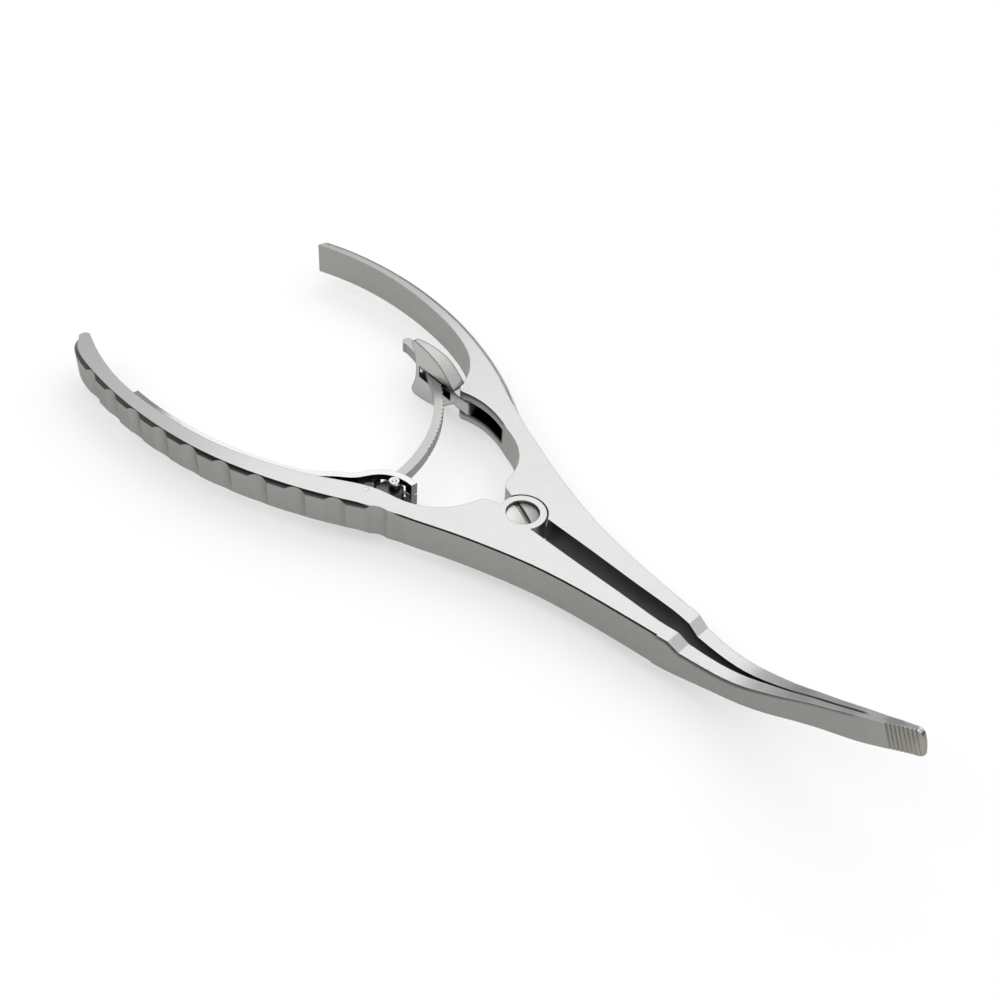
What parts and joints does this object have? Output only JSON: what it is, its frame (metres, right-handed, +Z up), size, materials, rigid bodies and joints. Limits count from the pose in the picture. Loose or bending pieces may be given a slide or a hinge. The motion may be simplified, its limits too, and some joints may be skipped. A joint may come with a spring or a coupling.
{
  "type": "spinal distractor forceps",
  "caption": "Hand-held spinal distractor forceps with curved serrated jaws that spread as the bowed handles are squeezed, held open by an arched ratchet bar and a release catch.",
  "frame": {"origin": "on the pivot axis, in the plane of the levers' flat underside", "axes": "+X from the pivot to the jaw tips, +Y to the thumb lever, +Z up along the pivot axis, the way the jaws sweep"},
  "size_m": [0.253, 0.1006, 0.0331],
  "materials": {
    "satin_steel": "bead-blasted satin",
    "screw_steel": "turned satin",
    "ratchet_steel": "fine grained satin",
    "pin_steel": "ground flush",
    "polished_pin": "polished",
    "spring_steel": "mirror polished",
    "catch_steel": "satin"
  },
  "bodies": {
    "finger_arm": {"finger_lever": "satin_steel", "pivot_screw": "screw_steel", "ratchet_hinge_pin": "pin_steel", "leaf_spring": "spring_steel", "spring_rivets": "pin_steel"},
    "thumb_arm": {"thumb_lever": "satin_steel", "catch_pin": "pin_steel", "catch_spring": "spring_steel"},
    "ratchet": {"ratchet_bar": "ratchet_steel", "cross_pin": "polished_pin"},
    "catch": {"release_catch": "catch_steel"}
  },
  "joints": [
    {"name": "lever_pivot", "type": "hinge", "parent": "finger_arm", "child": "thumb_arm", "pos_m": [0, 0, 0.005], "axis": [0, 0, 1], "range_deg": [0, 18]},
    {"name": "ratchet_swing", "type": "hinge", "parent": "finger_arm", "child": "ratchet", "pos_m": [-0.0334, -0.0242, 0.005], "axis": [0, 0, 1], "range_deg": [0, 26.1], "deforming": ["leaf_spring"]},
    {"name": "catch_turn", "type": "hinge", "parent": "thumb_arm", "child": "catch", "pos_m": [-0.0459, 0.0245, 0.005], "axis": [0, 0, 1], "range_deg": [-2.2, 0], "stiffness_Nm_per_rad": 0.05, "springref_deg": 2.86}
  ],
  "couplings": [
    {"joint": "ratchet_swing", "follows": "lever_pivot", "ratio": 1.45}
  ]
}
